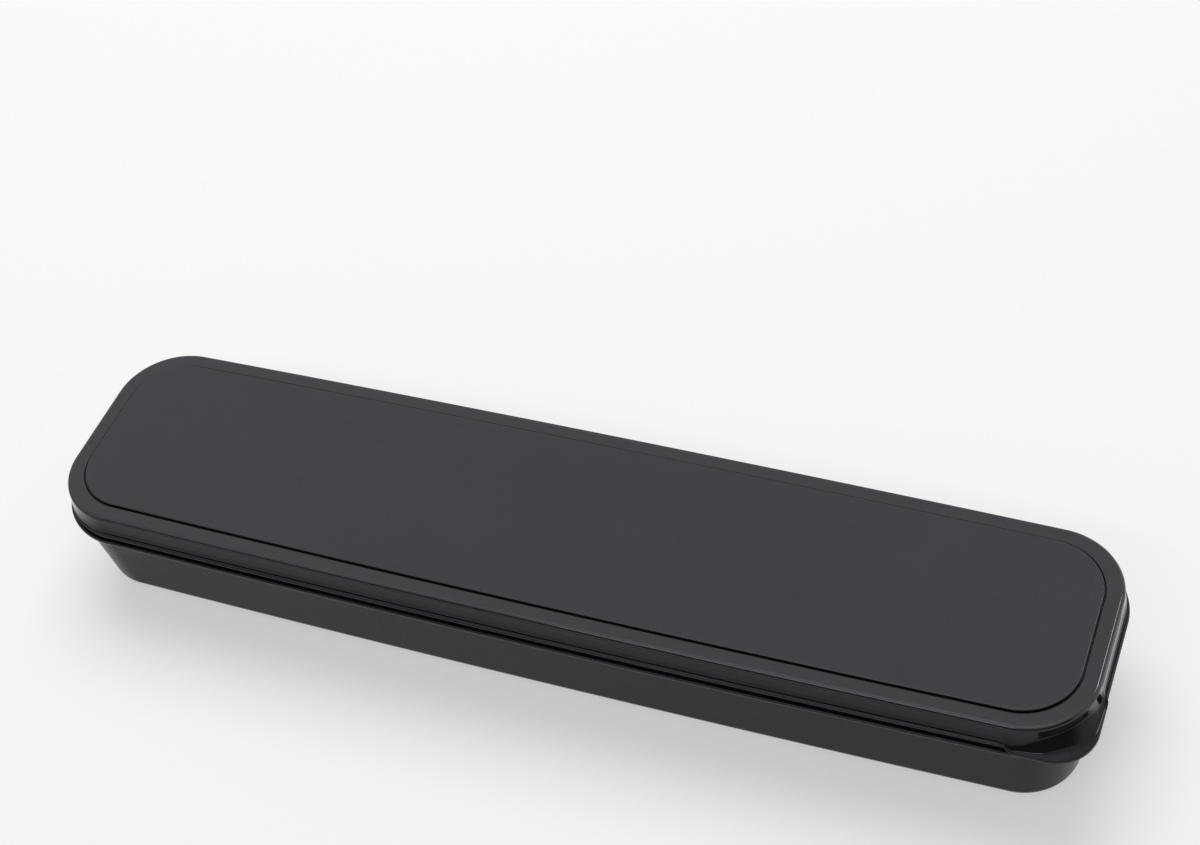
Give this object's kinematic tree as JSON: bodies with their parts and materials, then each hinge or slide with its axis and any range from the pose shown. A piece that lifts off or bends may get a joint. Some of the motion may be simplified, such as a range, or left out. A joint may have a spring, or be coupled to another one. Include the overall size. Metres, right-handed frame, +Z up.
{
  "type": "travel cutlery box",
  "caption": "Long narrow plastic box with rounded corners: an open tray whose floor is split into wells by low ridges, and a press-on lid with a thumb tab at one corner.",
  "frame": {"origin": "middle of the plane that the foot ring rests on", "axes": "+X along the box towards the end with the lid's thumb tab, -Y towards the front side with the tab, +Z up through the lid"},
  "size_m": [0.2304, 0.0538, 0.03],
  "materials": {
    "tray_plastic": "moulded black plastic, glossy inside and on the rim, satin on the outer wall",
    "lid_plastic": "moulded black plastic, fine satin on the raised panel, glossy on the frame and the tab"
  },
  "bodies": {
    "tray": {"tray": "tray_plastic"},
    "lid": {"lid": "lid_plastic"}
  },
  "joints": [
    {"name": "lid_lift", "type": "slide", "parent": "tray", "child": "lid", "axis": [0, 0, 1], "range_m": [0, 0.078]}
  ]
}
